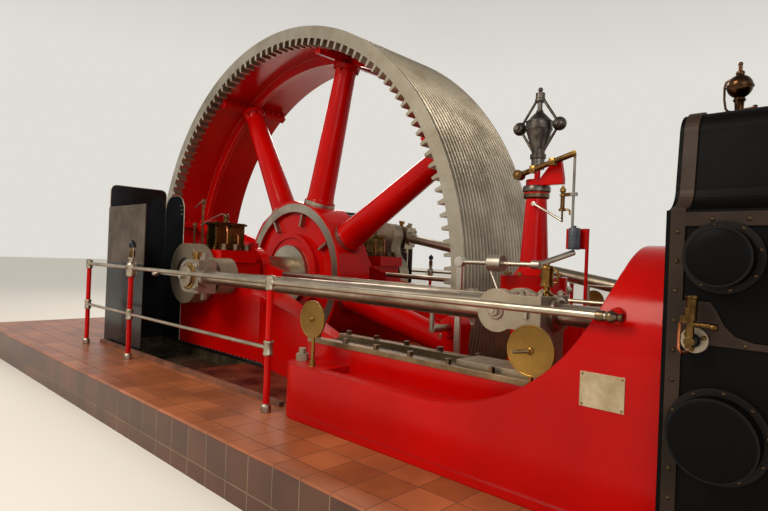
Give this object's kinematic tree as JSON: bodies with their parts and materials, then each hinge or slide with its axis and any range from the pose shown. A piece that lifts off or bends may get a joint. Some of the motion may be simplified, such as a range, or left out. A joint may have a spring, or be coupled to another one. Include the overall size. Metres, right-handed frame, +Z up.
{
  "type": "horizontal cross-compound mill steam engine",
  "caption": "Horizontal cross-compound mill steam engine with a rope-grooved, internally toothed flywheel between two cranks, on a foundation with a wheel pit.",
  "frame": {"origin": "on the foundation's underside, directly below the crankshaft's axis in the wheel's middle plane", "axes": "+X along the engine from the crankshaft towards the cylinders, +Y towards the low-pressure engine, +Z up"},
  "size_m": [10.7, 5.88, 6.3618],
  "materials": {
    "tile": "glazed brick and quarry tile",
    "enamel": "gloss enamel",
    "steel": "turned and polished steel",
    "brass": "worn brass",
    "casing": "semi-gloss black",
    "guard": "gloss black sheet",
    "band": "browned steel band",
    "tray": "oiled sheet steel",
    "plate": "bare plate",
    "copper": "browned copper"
  },
  "bodies": {
    "engine": {"near_foundation": "tile", "far_foundation": "tile", "end_foundation": "tile", "race_floor": "tile", "race_wall": "tile", "crank_trays": "tray", "near_bed": "enamel", "far_bed": "enamel", "bearing_caps": "enamel", "oil_boxes": "brass", "slide_keepers": "steel", "near_cylinder": "casing", "far_cylinder": "casing", "casing_bands": "band", "valve_covers": "casing", "rod_glands": "brass", "indicator_cocks": "brass", "drain_valves": "brass", "ball_lubricators": "copper", "blank_plate": "plate", "eccentrics": "enamel", "valve_rods": "steel", "rocker_stands": "enamel", "weight_lever": "steel", "governor_stand": "enamel", "governor_levers": "brass", "handrail_posts": "enamel", "hand_rails": "steel", "end_guards": "guard", "inner_guards": "guard", "front_guards": "guard", "oil_discs": "brass", "post_oilers": "brass", "holding_down_bolts": "steel"},
    "near_slide": {"near_crosshead": "steel", "near_oil_cup": "brass", "near_piston_rod": "steel"},
    "far_slide": {"far_crosshead": "steel", "far_oil_cup": "brass", "far_piston_rod": "steel"},
    "near_rod": {"near_connecting_rod": "steel", "near_strap_cup": "brass"},
    "far_rod": {"far_connecting_rod": "steel", "far_strap_cup": "brass"},
    "shaft": {"wheel_rim": "enamel", "barring_ring": "steel", "rim_joints": "enamel", "wheel_spokes": "enamel", "wheel_hub": "enamel", "crankshaft": "steel", "near_crank": "steel", "far_crank": "steel", "pin_oilers": "brass"},
    "governor": {"governor_head": "casing"}
  },
  "joints": [
    {"name": "shaft_turn", "type": "hinge", "parent": "engine", "child": "shaft", "pos_m": [0, 0, 3.312], "axis": [0, 1, 0], "continuous": true},
    {"name": "near_crosshead_slide", "type": "slide", "parent": "engine", "child": "near_slide", "axis": [1, 0, 0], "range_m": [-1.22, 0]},
    {"name": "near_rod_swing", "type": "hinge", "parent": "near_slide", "child": "near_rod", "pos_m": [4.27, -1.89, 3.312], "axis": [0, 1, 0], "range_deg": [-9.59, 9.59]},
    {"name": "far_crosshead_slide", "type": "slide", "parent": "engine", "child": "far_slide", "axis": [1, 0, 0], "range_m": [-0.5588, 0.6612]},
    {"name": "far_rod_swing", "type": "hinge", "parent": "far_slide", "child": "far_rod", "pos_m": [3.60881, 1.89, 3.312], "axis": [0, 1, 0], "range_deg": [-19.19, 0]},
    {"name": "governor_spin", "type": "hinge", "parent": "engine", "child": "governor", "pos_m": [3.9, -0.96, 4.35], "axis": [0, 0, 1], "continuous": true}
  ]
}
